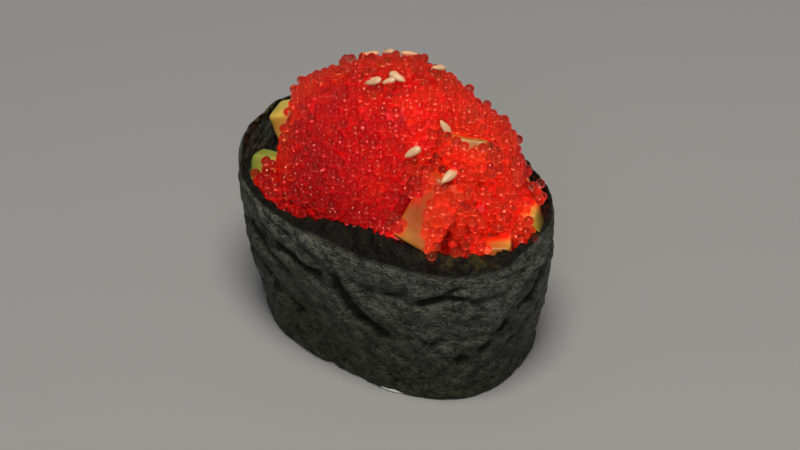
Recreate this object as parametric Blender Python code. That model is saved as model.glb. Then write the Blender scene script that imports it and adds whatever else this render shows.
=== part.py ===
"""Gunkan sushi: a block of rice in a standing band of nori, with a heap of flying-fish roe on top
and diced avocado in the heap.

Units are metres and +Z is up. The long axis is X, the front long side faces -Y, and the origin is
the middle of the foot. Every solid is worked out from the driving dimensions below. An outline
angle is in radians: 0 is the +X end and -pi/2 is the front.
"""

import math

import bmesh
import bpy
import numpy as np
from mathutils import Euler, Vector

# The nori band's outside, at its foot and at its rim.
BASE_HALF_LENGTH = 0.0256
BASE_HALF_WIDTH = 0.0170
BASE_POWER = 2.7  # of the superellipse: 2 is an ellipse, more is squarer
RIM_HALF_LENGTH = 0.0308
RIM_HALF_WIDTH = 0.0200
RIM_POWER = 2.2
BELLY = 0.0005  # how far the wall swells at half height
DENTS = 0.0004
WALL_SHARES = (0, 0.08, 0.2, 0.35, 0.5, 0.65, 0.8, 0.92, 1)  # heights of the wall's rings

# The wall's height, up to the crease where its top edge starts to lean in.
BAND_HEIGHT = 0.0306
TALL_END_LIFT = 0.0024  # of the crease round the back left end
TALL_END_ANGLE = 2.75
CREASE_WAVER = 0.0005
FOOT_CLEARANCE = 0.0004  # the rice stands this much lower than the nori
FOOT_WAVER = 0.0002

# The top edge, softened by the filling. It leans in over the filling along the front.
LIP_RUN = 0.0030
LIP_RISE = 0.0018
UPRIGHT_RISE = 0.0024  # where it doesn't lean
LIP_WAVER = 0.0003
LEAST_LEAN = 0.15  # a share of LIP_RUN

# The sheet of nori, and the lap of its free end, at the back.
NORI_THICKNESS = 0.0007
SEAM_END = 2.05
SEAM_LENGTH = 1.0
SEAM_STEP = 0.0004
SEAM_EDGE = 0.004  # how sharply the free end steps down, in radians

GAP = 0.0003  # between touching solids
WALL_GAP = 1.5 * GAP  # more, because the two facetings differ
CUT_GAP = 1.3 * GAP

RICE_TOP = 0.0205
RICE_EDGES = ((0, 0.0010), (0.0008, 0.0001), (0.007, 0), (0.014, 0), (RICE_TOP, 0))  # height, inset

# The heap of roe, and its lobes and hollows: middle, spread, and how far each one stands out.
ROE_FOOT = RICE_TOP + GAP
HEAP_HALF_LENGTH = 0.0262
HEAP_HALF_WIDTH = 0.0166
HEAP_MIDDLE = (0.0012, 0.0012)
HEAP_LEAN = (-0.0004, 0.0028)  # how far the top stands off the middle
HEAP_RISE = 0.0252
HEAP_EDGE = 0.0300
HEAP_ROUNDING = 1.3  # 1 is an ellipsoid, more is more conical
WALL_DROP = 0.0036  # the heap meets the nori this much lower than its edge
END_RECESS = 0.0036  # and this much lower again in the hollow at the left end
LUMP = 0.0006
LOBES = (
    ((0.0220, -0.0040, 0.0395), 0.0066, 0.0022),
    ((-0.0030, -0.0125, 0.0390), 0.0080, 0.0014),
    ((-0.0190, 0.0000, 0.0420), 0.0060, 0.0010),
    ((0.0080, -0.0115, 0.0410), 0.0050, -0.0012),
    ((0.0100, -0.0145, 0.0330), 0.0040, -0.0018),
    ((0.0140, 0.0070, 0.0490), 0.0080, -0.0012),
    ((-0.0130, 0.0120, 0.0420), 0.0070, 0.0012),
    ((-0.0205, 0.0010, 0.0445), 0.0045, 0.0014),
    ((-0.0105, 0.0058, 0.0520), 0.0050, -0.0009),
    ((0.0160, 0.0120, 0.0440), 0.0050, 0.0016),
)

# Diced avocado: the middle and size of each dice, and how its front face stands, in degrees: the
# way it faces (0 is -Y, 90 is +X), how far it leans back and how far it rolls over to the right.
DICE = {
    "avocado_left_end": ((-0.0246, -0.0044, 0.0262), (0.0074, 0.0052, 0.0070), (16, 25, 0)),
    "avocado_back_left": ((-0.0239, 0.0022, 0.0335), (0.0068, 0.0062, 0.0080), (10, 0, -22)),
    "avocado_front": ((0.0152, -0.0090, 0.0375), (0.0080, 0.0056, 0.0132), (24, 35, 24)),
    "avocado_right_end": ((0.0232, 0.0056, 0.0302), (0.0078, 0.0074, 0.0066), (30, 6, -6)),
    "avocado_right_front": ((0.0236, -0.0038, 0.0286), (0.0076, 0.0066, 0.0070), (40, 10, 4)),
    "avocado_upper_right": ((0.0157, 0.0008, 0.0442), (0.0078, 0.0070, 0.0066), (34, 34, 14)),
    "avocado_right_rear": ((0.0162, 0.0116, 0.0344), (0.0074, 0.0058, 0.0064), (140, 24, 8)),
    "avocado_rear": ((-0.0010, 0.0142, 0.0330), (0.0092, 0.0062, 0.0074), (172, 24, 8)),
    "avocado_rear_left": ((-0.0158, 0.0102, 0.0296), (0.0078, 0.0064, 0.0076), (215, 20, -12)),
}
DICE_SKEW = 0.06  # how far a corner may be off, as a share of the size
DICE_BEVEL = 0.16  # as a share of the least size

BAND_SEGMENTS = 94
FILLING_SEGMENTS = 48
HEAP_SEGMENTS = 64
HEAP_RINGS = 15

NORI_COLOUR = (0.022, 0.027, 0.019)
RICE_COLOUR = (0.86, 0.83, 0.74)
ROE_COLOUR = (0.72, 0.045, 0.022)
AVOCADO_COLOUR = (0.62, 0.50, 0.12)


def full_turn(count):
    return np.linspace(0, 2 * math.pi, count, endpoint=False)


def ripple(angle, waves, seed):
    """A smooth wobble round the outline, within about -1 to 1: the mean of a few sines."""
    random = np.random.default_rng(seed)
    total = np.zeros_like(angle)
    for wave in waves:
        total += random.uniform(0.5, 1.0) * np.sin(wave * angle + random.uniform(0, 2 * math.pi))
    return total / len(waves)


def bell(angle, middle, width):
    """A bump of height 1 round one outline angle."""
    away = (angle - middle + math.pi) % (2 * math.pi) - math.pi
    return np.exp(-((away / width) ** 2))


def outline(angle, half_length, half_width, power):
    """Points of a superellipse, spread fairly evenly along it."""
    heading = np.arctan2(half_width * np.sin(angle), half_length * np.cos(angle))
    along = np.abs(np.cos(heading) / half_length)
    across = np.abs(np.sin(heading) / half_width)
    reach = (along**power + across**power) ** (-1 / power)
    return np.column_stack([reach * np.cos(heading), reach * np.sin(heading)])


def inset(ring, distance):
    """A closed anticlockwise ring of 2-D points, moved in by one distance or by one for each."""
    along = np.roll(ring, -1, axis=0) - np.roll(ring, 1, axis=0)
    normal = np.column_stack([along[:, 1], -along[:, 0]])
    normal /= np.linalg.norm(normal, axis=1, keepdims=True)
    return ring - normal * np.broadcast_to(distance, len(ring))[:, None]


def at_height(ring, height):
    """A ring of 3-D points from one of 2-D points."""
    return np.column_stack([ring, np.broadcast_to(height, len(ring))])


def crease_height(angle):
    """Height of the wall's top crease, which is tallest round the back left end."""
    lift = TALL_END_LIFT * bell(angle, TALL_END_ANGLE, 0.75)
    return BAND_HEIGHT + lift + CREASE_WAVER * ripple(angle, (3, 5, 8), seed=7)


def foot_height(angle):
    """Height of the nori's cut lower edge, which isn't quite straight."""
    return FOOT_CLEARANCE + FOOT_WAVER * (1 + ripple(angle, (4, 9, 13), seed=5))


def lip_lean(angle):
    """1 where the top edge leans right in, as along the front, down to LEAST_LEAN."""
    front, right_end = bell(angle, -1.45, 1.15), bell(angle, 0, 0.6)
    return np.clip(LEAST_LEAN + (1 - LEAST_LEAN) * front + 0.1 * right_end, 0, 1)


def band_ring(angle, share):
    """The outside of the wall at a share of its height, from 0 at its foot to 1 at its crease."""
    flare = share * share * (3 - 2 * share)
    half_length = BASE_HALF_LENGTH + (RIM_HALF_LENGTH - BASE_HALF_LENGTH) * flare
    half_width = BASE_HALF_WIDTH + (RIM_HALF_WIDTH - BASE_HALF_WIDTH) * flare
    ring = outline(angle, half_length, half_width, BASE_POWER + (RIM_POWER - BASE_POWER) * share)
    swell = BELLY * np.sin(math.pi * share)
    fade = np.sin(math.pi * (0.1 + 0.8 * share))
    dents = DENTS * ripple(angle + 0.6 * share, (5, 7, 11), seed=3) * fade
    return inset(ring, -(swell + dents))


def filling_ring(angle, height):
    """The space inside the wall at this height, clear of the nori."""
    foot, crease = foot_height(angle), crease_height(angle)
    share = np.clip((height - foot) / (crease - foot), 0, 1)
    return at_height(inset(band_ring(angle, share), NORI_THICKNESS + WALL_GAP), height)


def quads(rings, segments, closed):
    """Faces between neighbouring rings, and from the last ring to the first if closed."""
    faces = []
    for ring in range(rings if closed else rings - 1):
        here, there = ring * segments, (ring + 1) % rings * segments
        for i in range(segments):
            j = (i + 1) % segments
            faces.append((here + i, here + j, there + j, there + i))
    return faces


def stacked(rings, low_middle, high_middle):
    """Vertices and faces of a body of stacked rings, closed by a fan at each end."""
    segments = len(rings[0])
    low = len(rings) * segments
    last, high = low - segments, low + 1
    faces = quads(len(rings), segments, closed=False)
    for i in range(segments):
        j = (i + 1) % segments
        faces.append((j, i, low))
        faces.append((last + i, last + j, high))
    return np.concatenate([*rings, [low_middle, high_middle]]), faces


def mesh_object(name, vertices, faces):
    mesh = bpy.data.meshes.new(name)
    mesh.from_pydata([tuple(map(float, vertex)) for vertex in vertices], [], faces)
    return bpy.data.objects.new(name, mesh)


def finish(item, colour, roughness):
    """Links an object, shades it smooth and gives it a material of its own."""
    bpy.context.scene.collection.objects.link(item)
    material = bpy.data.materials.new(item.name)
    material.use_nodes = True
    shader = material.node_tree.nodes["Principled BSDF"]
    shader.inputs["Base Color"].default_value = (*colour, 1)
    shader.inputs["Roughness"].default_value = roughness
    item.data.materials.append(material)
    item.data.shade_smooth()
    return item


def wall_rings(angle):
    """Rings up the outside of the wall, and the rings of its inner side at the same heights."""
    foot, crease = foot_height(angle), crease_height(angle)
    behind = (SEAM_END - angle) % (2 * math.pi)
    lap = np.clip(2 - 2 * behind / SEAM_LENGTH, 0, 1) * (behind > 0)
    outer, inner = [], []
    for share in WALL_SHARES:
        ring = band_ring(angle, np.full_like(angle, share))
        height = foot + (crease - foot) * share
        outer.append(at_height(inset(ring, -SEAM_STEP * lap), height))
        inner.append(at_height(inset(ring, NORI_THICKNESS), height))
    return outer, inner


def lip_rings(angle):
    """The same for the top edge, half way over and at its end."""
    rim, lean = band_ring(angle, np.ones_like(angle)), lip_lean(angle)
    waver = LIP_WAVER * ripple(angle, (17, 23, 29), seed=9)
    rise = LIP_RISE * lean + UPRIGHT_RISE * (1 - lean) + waver
    thickness_in = NORI_THICKNESS * (1 - 0.45 * lean)
    thickness_down = NORI_THICKNESS * (0.2 + 0.7 * lean)
    outer, inner = [], []
    for share in (0.5, 1):
        run, height = LIP_RUN * lean * share, crease_height(angle) + rise * share
        outer.append(at_height(inset(rim, run), height))
        inner.append(at_height(inset(rim, run + thickness_in), height - thickness_down))
    return outer, inner


def make_nori():
    """The band as one wrapped strip: up the outside, over the top edge and down the inside."""
    angle = np.sort(np.concatenate([full_turn(BAND_SEGMENTS), [SEAM_END - SEAM_EDGE, SEAM_END]]))
    wall_outer, wall_inner = wall_rings(angle)
    lip_outer, lip_inner = lip_rings(angle)
    rings = wall_outer + lip_outer + (wall_inner + lip_inner)[::-1]
    faces = quads(len(rings), len(angle), closed=True)
    return finish(mesh_object("nori", np.concatenate(rings), faces), NORI_COLOUR, roughness=0.45)


def make_rice():
    """The pressed block of rice: flat below, with rounded lower edges, up to the roe."""
    angle = full_turn(FILLING_SEGMENTS)
    rings = []
    for height, inset_by in RICE_EDGES:
        ring = filling_ring(angle, height)
        rings.append(at_height(inset(ring[:, :2], inset_by), height))
    body = mesh_object("rice", *stacked(rings, (0, 0, 0), (0, 0, RICE_TOP)))
    return finish(body, RICE_COLOUR, roughness=0.5)


def lumpiness(points):
    """How far the heap stands out at these points, from its lobes, its hollows and small lumps."""
    x, y, z = points.T
    stands = LUMP * np.sin(900 * x + 1.3 + 2 * np.sin(700 * z)) * np.sin(1000 * y + 0.4)
    for middle, spread, height in LOBES:
        away = np.linalg.norm(points - np.array(middle), axis=1)
        stands += height * np.exp(-((away / spread) ** 2))
    return stands


def heap_ring(angle, climb):
    """A ring of the heap's surface: climb runs from 0 at its edge to 1 at its top."""
    turn = climb * math.pi / 2
    spread, rise = math.cos(turn), math.sin(turn) ** HEAP_ROUNDING
    flat = outline(angle, HEAP_HALF_LENGTH, HEAP_HALF_WIDTH, RIM_POWER) * spread
    flat += np.array(HEAP_MIDDLE) + np.array(HEAP_LEAN) * rise
    smooth = at_height(flat, HEAP_EDGE + HEAP_RISE * rise)
    facing = at_height(np.column_stack([np.cos(angle), np.sin(angle)]) * spread, math.sin(turn))
    return smooth + facing * (lumpiness(smooth) * min(1, 3 * climb))[:, None]


def make_roe(dice):
    """The heap of roe, from the rice up to its uneven outline, cut clear of the avocado."""
    angle = full_turn(HEAP_SEGMENTS)
    wall_top = HEAP_EDGE - WALL_DROP - END_RECESS * bell(angle, 3.1, 0.6)
    rings = [filling_ring(angle, ROE_FOOT + (wall_top - ROE_FOOT) * share) for share in (0, 0.5, 1)]
    rings += [heap_ring(angle, step / HEAP_RINGS) for step in range(HEAP_RINGS)]
    top = heap_ring(angle, 1).mean(axis=0)
    roe = finish(mesh_object("roe", *stacked(rings, (0, 0, ROE_FOOT), top)), ROE_COLOUR, roughness=0.2)
    for piece in dice:
        cut = roe.modifiers.new("around " + piece.name, "BOOLEAN")
        cut.operation = "DIFFERENCE"
        cut.solver = "EXACT"
        cut.object = cutter_for(piece)
    return roe


def make_dice(name, middle, size, stance):
    """One dice of avocado: a box with soft edges, whose corners are each cut a little off."""
    random = np.random.default_rng(sum(map(ord, name)))
    shape = bmesh.new()
    bmesh.ops.create_cube(shape, size=1)
    for corner in shape.verts:
        corner.co += Vector(random.uniform(-DICE_SKEW, DICE_SKEW, 3))
        corner.co *= Vector(size)
    edges, width = shape.edges[:], DICE_BEVEL * min(size)
    bmesh.ops.bevel(shape, geom=edges, offset=width, segments=2, profile=0.6, affect="EDGES")
    bmesh.ops.recalc_face_normals(shape, faces=shape.faces)
    mesh = bpy.data.meshes.new(name)
    shape.to_mesh(mesh)
    shape.free()
    item = bpy.data.objects.new(name, mesh)
    item.location = middle
    facing, lean, roll = map(math.radians, stance)
    item.rotation_mode = "YXZ"
    item.rotation_euler = Euler((-lean, roll, facing), "YXZ")
    return finish(item, AVOCADO_COLOUR, roughness=0.45)


def cutter_for(piece):
    """A hidden copy of a piece, grown by the gap, that cuts its place in the roe."""
    cutter = piece.copy()
    cutter.data = piece.data.copy()
    cutter.name = piece.name + "_cutter"
    grown = [vertex.co + vertex.normal * CUT_GAP for vertex in cutter.data.vertices]
    for vertex, place in zip(cutter.data.vertices, grown):
        vertex.co = place
    bpy.context.scene.collection.objects.link(cutter)
    cutter.hide_render = True
    cutter.display_type = "WIRE"
    return cutter


def main():
    for item in list(bpy.data.objects):
        bpy.data.objects.remove(item)
    make_nori()
    make_rice()
    dice = [make_dice(name, *placed) for name, placed in DICE.items()]
    make_roe(dice)


main()
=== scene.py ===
"""The looks of a gunkan sushi: nori band, rice, a heap of small red roe, avocado dice and sesame.

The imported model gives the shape. Finer pieces stand for its solids: a wrinkled sheet of nori,
single eggs over a core, softened dice and grains of rice. All lengths are in metres.
"""

import math

import bmesh
import bpy
import numpy as np
from mathutils import Matrix, Vector, noise
from mathutils.bvhtree import BVHTree
from mathutils.kdtree import KDTree


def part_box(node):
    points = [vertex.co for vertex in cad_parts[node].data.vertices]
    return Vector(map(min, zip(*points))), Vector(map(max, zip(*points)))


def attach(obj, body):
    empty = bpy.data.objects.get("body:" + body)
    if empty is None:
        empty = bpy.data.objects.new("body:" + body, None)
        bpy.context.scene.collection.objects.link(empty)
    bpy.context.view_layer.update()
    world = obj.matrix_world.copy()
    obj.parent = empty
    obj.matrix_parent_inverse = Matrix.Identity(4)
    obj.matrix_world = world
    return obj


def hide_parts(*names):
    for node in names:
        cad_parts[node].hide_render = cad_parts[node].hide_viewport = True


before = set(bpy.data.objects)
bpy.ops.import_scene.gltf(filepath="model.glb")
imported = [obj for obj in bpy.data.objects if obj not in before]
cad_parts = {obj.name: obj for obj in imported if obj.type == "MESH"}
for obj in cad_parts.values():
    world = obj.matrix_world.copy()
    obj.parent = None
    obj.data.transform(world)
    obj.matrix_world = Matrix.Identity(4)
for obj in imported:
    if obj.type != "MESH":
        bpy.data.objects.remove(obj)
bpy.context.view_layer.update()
DOWN = Vector((0, 0, -1))

# The nori sheet. Its columns go round the band from the lap at the back.
NORI_COLUMNS = 440
WALL_ROWS = 84
WALL_SHARES = np.linspace(0, 1, WALL_ROWS)
LIP_ROWS = 15
LAP_ANGLE = 2.05
LAP_STEP = 0.0004
LAP_FADE_COLUMNS = 60
FOOT_FADE_ROWS = 6
FOOT_HEIGHT = 0.0004
CREASE_SEARCH_STEP = 0.0002
LOWEST_CREASE = 0.01
WALL_FACES_UP = 0.6
OUTSIDE = 0.08
LEAN_RAY = 0.01
LEAN_DROP = 0.0015
FOOT_UNEVENNESS = 0.0003
LOWEST = 0.0001
WALL_FROM = 0.0016
WALL_BELOW_CREASE = 0.001
LIP_RUN = 0.0036
LIP_RISE = 0.002
CURL_RUN = 0.0005
TEAR_DEPTH = 0.34
RIM_UNEVENNESS = 0.003
SHEET_THICKNESS = 0.0003
EDGE_THICKNESS = 0.00012
EDGE_ROWS = 5

# How large the lip is, and how far in its dark wet part starts, which is also painted near-black as
# shade: (degrees round the band, share).
LIP_SIZES = (
    (-180, 0.6), (-125, 0.62), (-105, 0.95), (-90, 1.22),
    (-50, 1.28), (-25, 1.05), (60, 0.8), (180, 0.6),
)
LIP_DARK_FROM = (
    (-180, 0.2), (-150, 0), (-125, 0.2), (-95, 0.05),
    (-70, -0.1), (15, -0.1), (50, 0.2), (180, 0.4),
)
WET_FADE_ROWS = 2.5
THIN_FADE_ROWS = 9

# The sheet's unevenness: soft swells, slanting and crossing wrinkles, and fine grain.
SWELL = 0.00042
SLANTING = 0.0003
CROSSING = 0.00017
FINE_GRAIN = 0.00012

# Folds of the sheet: points as (degrees round the band, height), half-width, and depth,
# which is negative for a ridge.
FOLDS = (
    (((-128, 0.033), (-104, 0.0285), (-84, 0.0235), (-70, 0.0178), (-58, 0.014)), 0.0017, 0.00036),
    (((-118, 0.025), (-98, 0.0225), (-86, 0.0212), (-72, 0.0172)), 0.0012, 0.00045),
    (((-112, 0.0318), (-88, 0.0282), (-72, 0.0222), (-56, 0.0178)), 0.0012, -0.00055),
    (((-76, 0.0192), (-69, 0.0174), (-61, 0.0146)), 0.0012, 0.0015),
    (((-84, 0.0225), (-80, 0.021)), 0.001, 0.0009),
    (((-146, 0.029), (-128, 0.0262), (-112, 0.0245)), 0.0008, 0.0006),
    (((-142, 0.0235), (-124, 0.0212), (-108, 0.016)), 0.0009, 0.0007),
    (((-138, 0.0312), (-124, 0.03), (-112, 0.028)), 0.0006, 0.00045),
    (((-150, 0.018), (-132, 0.015), (-116, 0.01)), 0.001, 0.0006),
    (((8, 0.029), (-4, 0.0268), (-13, 0.0222), (-22, 0.016), (-31, 0.012)), 0.0012, -0.00075),
    (((4, 0.0232), (-9, 0.0182), (-18, 0.014), (-28, 0.01)), 0.0014, 0.00085),
    (((6, 0.016), (-6, 0.012), (-14, 0.008)), 0.001, 0.0006),
    (((-44, 0.0245), (-36, 0.0256), (-28, 0.0285)), 0.0006, 0.00055),
    (((-42, 0.0152), (-38, 0.0146), (-34, 0.0156)), 0.0007, 0.0007),
    (((-30, 0.0205), (-24, 0.019), (-18, 0.0196)), 0.0006, 0.00045),
    (((-26, 0.0262), (-20, 0.0222)), 0.0005, 0.0004),
    (((40, 0.03), (56, 0.024), (72, 0.017), (90, 0.013)), 0.0014, 0.0008),
    (((24, 0.027), (38, 0.02), (46, 0.012)), 0.001, 0.0006),
    (((150, 0.029), (162, 0.022), (178, 0.015)), 0.0012, 0.0008),
    (((100, 0.027), (118, 0.0225), (140, 0.021)), 0.001, 0.0006),
)
# Painted shade in the folds: the colour darkens from this depth, fully at twice it, and at most by this
# share.
FOLD_SHADE_DEPTH = 0.00045
FOLD_PAINTED_SHADE = 0.85
FOLD_UNEVENNESS = 1.5
FOLD_FINENESS = 330
FOLD_DEEPEST = 0.0011
FOLD_HIGHEST = 0.0006

# Where the edge is thin and brown-olive, partly as painted light shining through it: middle and reach
# in degrees, and how much.
THIN_AND_BACKLIT_EDGES = ((-20, 15, 1), (165, 32, 1), (-95, 90, 0.12), (60, 60, 0.4))

# The paler strands of the nori: direction in degrees, length and width of their bends.
FIBRES = (
    (12, 0.0032, 0.00075),
    (48, 0.003, 0.00085),
    (84, 0.0034, 0.0008),
    (121, 0.003, 0.0007),
    (158, 0.0036, 0.0009),
    (66, 0.0016, 0.00045),
    (139, 0.0016, 0.00045),
)

# The roe: loose eggs in a shell under the heap's outline, over a core.
EGG_RADIUS = 0.00084
EGG_CUTS = 2
INNER_EGG_CUTS = 1
INNER_KIND = "roe_red"
EGG_RADIUS_SPREAD = 0.09
PERCHED_RADIUS_SPREAD = 0.06
EGG_SPACING = 0.00162
SHELL = 0.0019
EGGS_PER_AREA = 0.86e6
CROWDED = 0.8
PROUD_SHARE = 0.09
PROUD = 0.0008
LUMP = 0.00068
LUMP_FINENESS = 190
FINE_DEPTH = 0.0012
SETTLING_ROUNDS = 30
HIDDEN_BELOW_RIM = 0.0085
FACES_DOWN = -0.7
NEAR_DICE = 0.0009
CORE_DEPTH = 0.0028
CORE_RELIEF = 0.0003
CORE_FINENESS = 800
CORE_MIDDLE = (0, 0, 0.03)
CORE_LOWEST = 0.02
CORE_COLUMNS = 150
CORE_ROWS = 50

# Dark hollows among the eggs, and knobs where depth is negative: centre, reach, depth.
HOLLOWS = (
    ((0.004, -0.0145, 0.0385), 0.0022, 0.0012),
    ((0.0085, -0.0135, 0.037), 0.002, 0.0012),
    ((-0.013, -0.013, 0.0365), 0.0018, 0.001),
    ((0.025, -0.006, 0.035), 0.002, 0.001),
    ((-0.0205, -0.006, 0.04), 0.002, 0.0008),
    ((0.003, 0.003, 0.055), 0.005, -0.0007),
    ((-0.0205, 0.001, 0.0445), 0.0026, -0.0006),
    ((-0.0105, 0.0058, 0.052), 0.0026, -0.0006),
    ((0.011, 0.008, 0.0525), 0.0026, -0.0006),
)

FRONT = ("avocado_front", "roe")
UPPER_RIGHT = ("avocado_upper_right", "roe")

# Where more eggs lie on the dice, the rim and the flank of the heap: what bears them, centre, reach.
PERCHES = (
    (("avocado_front",), (0.0198, -0.0096, 0.0392), 0.004),
    (FRONT, (0.0206, -0.0118, 0.0362), 0.0044),
    (FRONT, (0.0222, -0.0092, 0.038), 0.004),
    (("avocado_front",), (0.0186, -0.0118, 0.0374), 0.0022),
    (("avocado_front",), (0.0192, -0.0078, 0.0416), 0.0031),
    (FRONT, (0.014, -0.008, 0.0442), 0.0018),
    (("avocado_left_end", "roe"), (-0.0206, -0.0076, 0.0312), 0.0018),
    (("avocado_back_left", "roe"), (-0.0208, 0.001, 0.0382), 0.0022),
    (("avocado_right_front", "roe"), (0.0234, -0.008, 0.0318), 0.0026),
    (("nori", "avocado_right_end", "roe"), (0.0272, 0.0008, 0.0325), 0.0024),
    (("avocado_right_end", "roe"), (0.0243, 0.0078, 0.035), 0.0018),
    (FRONT, (0.0128, -0.01, 0.0424), 0.0012),
    (FRONT, (0.012, -0.014, 0.0372), 0.001),
    (UPPER_RIGHT, (0.0196, 0.0002, 0.0456), 0.0019),
    (UPPER_RIGHT, (0.0152, -0.0024, 0.047), 0.0022),
    (UPPER_RIGHT, (0.0182, -0.0032, 0.0448), 0.0028),
    (UPPER_RIGHT, (0.0208, -0.001, 0.045), 0.0026),
    (UPPER_RIGHT, (0.0214, 0.0024, 0.0464), 0.002),
    (UPPER_RIGHT, (0.015, 0.0032, 0.0494), 0.0022),
    (("roe", "rice"), (-0.0216, -0.0098, 0.028), 0.0032),
    (("roe", "rice"), (-0.019, -0.012, 0.028), 0.0028),
)
PERCH_TRIES = 260
PERCH_LAYERS = 2
PERCHED_SINK = 0.3
PERCHED_LAYER = 0.0009
PERCHED_SPACING = 0.00132
PERCHED_WALL_GAP = 0.0009
PERCH_TILT = 0.12

# How the eggs look: light that shines through them, unevenly; a painted orange crescent at each egg's
# lower side, standing for gathered lamp light; and the shade behind them.
EGG_GLOW_SHARE = 0.16
EGG_GLOW_SHARE_BELOW = 0.6
LIT_UNEVENNESS = 1.3
# Painted light: the orange painted on each egg's lower side, for lamp light gathered there.
EGG_PAINTED_CRESCENT = (0.94, 0.38, 0.15)
EGG_SHADE = (1, 0.54, 0.56)

# The kinds of eggs, from crimson to orange: name, deep and bright colour, colour when lit through.
EGG_KINDS = (
    ("roe_crimson", (0.73, 0.088, 0.172), (0.81, 0.13, 0.188), (0.89, 0.3, 0.29)),
    ("roe_red", (0.79, 0.112, 0.186), (0.89, 0.178, 0.192), (0.91, 0.35, 0.27)),
    ("roe_orange", (0.86, 0.148, 0.19), (0.97, 0.305, 0.21), (0.95, 0.45, 0.26)),
)

TONE = 0.4
TONE_SPREAD = 0.1
TONE_PATCHES = 0.25
TONE_FINENESS = 160

# Painted light and shade on the heap: places painted lighter and more orange where lamp light falls,
# and deeper and more crimson where shade falls: centre, reach, change.
PAINTED_LIGHT_TONES = (
    ((0.02, -0.006, 0.038), 0.012, 0.65),
    ((0.004, 0.006, 0.055), 0.011, 0.45),
    ((-0.01, 0.006, 0.051), 0.007, 0.45),
    ((0.016, 0.008, 0.048), 0.008, 0.45),
    ((0.024, 0.006, 0.04), 0.009, 0.3),
    ((-0.02, 0, 0.046), 0.007, 0.5),
    ((-0.022, -0.006, 0.037), 0.008, 0.65),
    ((-0.011, -0.011, 0.041), 0.01, -0.3),
    ((-0.006, -0.013, 0.033), 0.008, -0.25),
    ((0.004, -0.012, 0.034), 0.006, -0.25),
)

# The dice: finer faces, eased edges and an uneven cut.
DICE_CUTS = 4
DICE_EASING_ROUNDS = 6
DICE_UNEVENNESS = 0.0003
DICE_FINENESS = 260
DICE_GRAIN = 0.00008
DICE_GRAIN_FINENESS = 900
DICE_PATCHES = 0.25
DICE_PATCH_FINENESS = 330

# The looks of the dice: how green, how much painted shade warmed orange by the roe's light lies on the
# other side, and the way to the greener side.
DICE_LOOKS = {
    "avocado_left_end": (0.62, -0.05, (-1, -0.2, 0.5)),
    "avocado_back_left": (-0.15, 0.15, (-1, 0, 0.6)),
    "avocado_front": (-0.3, 0.92, (-0.55, -0.2, -0.9)),
    "avocado_right_end": (0.05, 0.55, (0.9, 0.2, -0.6)),
    "avocado_right_front": (0.05, 0.62, (0.8, 0, -0.6)),
    "avocado_upper_right": (0.05, 1.05, (0.2, 0, 1)),
}
OTHER_DICE_LOOK = (0.3, 0.3, (0, 0, 1))

# The sesame seeds on the heap: place, heading of the tip in degrees, and size beside the others.
SEED_LENGTH = 0.0032
SEED_WIDTH = 0.00148
SEED_HEIGHT = 0.001
SEED_NARROWING = 0.3
SEED_LIFT = 0.0001
SEED_DROP = 0.0005
SEEDS = (
    ((-0.0024, -0.0013, 0.0537), -147, 1),
    ((0.0012, 0.0009, 0.0545), 1, 1),
    ((0.0004, -0.0003, 0.054), -128, 0.75),
    ((0.0099, -0.0068, 0.0471), -112, 1),
    ((0.0127, -0.0011, 0.05), 177, 0.95),
    ((0.0169, -0.0063, 0.044), -92, 1.12),
    ((0.0054, 0.0068, 0.0541), -110, 0.95),
    ((-0.0056, 0.007, 0.0538), 171, 0.95),
    ((-0.0101, 0.0078, 0.0508), 215, 0.95),
    ((-0.004, 0.011, 0.052), 35, 1),
    ((-0.01, 0.012, 0.047), 120, 1),
    ((0.008, 0.013, 0.046), 20, 1),
)

# The rice: a core, with grains pressed flat at the foot and against the band.
RICE_INSET = 0.0012
RICE_RELIEF = 0.0004
RICE_FINENESS = 500
GRAIN_LENGTH = 0.0054
GRAIN_WIDTH = 0.0023
GRAIN_HEIGHT = 0.001932
GRAIN_BLUNTNESS = 0.75
GRAIN_COUNT = 450
GRAIN_REACH = 0.002
GRAIN_SPREAD = 0.97
GRAIN_TILT = 0.2
GRAIN_LIFT = (0.0007, 0.0014)
GRAIN_TEST_HEIGHT = 0.003
GRAIN_WALL_AT = 0.002
GRAIN_ROOM = 0.0004
GRAIN_FLOOR_STEP = 0.000001

# Grains that peep out below the band at the front: place and heading in degrees.
SLIVERS = (
    ((-0.0018, -0.016, 0.0004), 5),
    ((0.0106, -0.0158, 0.0004), 12),
)

# The view and the studio.
VIEW_AZIMUTH = 39.1
VIEW_ELEVATION = 38.4
VIEW_DISTANCE = 0.4379
VIEW_ROLL = -2.66
VIEW_LENS = 109.8
AIM = (0.001, 0, 0.0228)
FLOOR_SIZE = 6


def smooth_step(values):
    """0 below 0, 1 above 1 and an easy curve between them."""
    shares = np.clip(values, 0, 1)
    return shares * shares * (3 - 2 * shares)


def noise_at(points, fineness):
    """Soft noise from about -1 to 1 at each point, with this many swings a metre."""
    return np.array([noise.noise(Vector(point) * fineness) for point in points])


def renumbered(faces, first):
    """The faces of points that come after this many others."""
    return [[first + corner for corner in face] for face in faces]


def surface_of(*nodes):
    """The CAD nodes' surface, for rays and nearest points."""
    points, faces = [], []
    for node in nodes:
        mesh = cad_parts[node].data
        faces += renumbered([face.vertices for face in mesh.polygons], len(points))
        points += [vertex.co.copy() for vertex in mesh.vertices]
    return BVHTree.FromPolygons(points, faces)


def triangles_of(form):
    """A form's points and triangles. The form is freed."""
    bmesh.ops.triangulate(form, faces=form.faces)
    points = [vertex.co.copy() for vertex in form.verts]
    faces = [[corner.index for corner in face.verts] for face in form.faces]
    form.free()
    return points, faces


def new_object(name, data):
    """A new object in the scene."""
    made = bpy.data.objects.new(name, data)
    bpy.context.scene.collection.objects.link(made)
    return made


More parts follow.
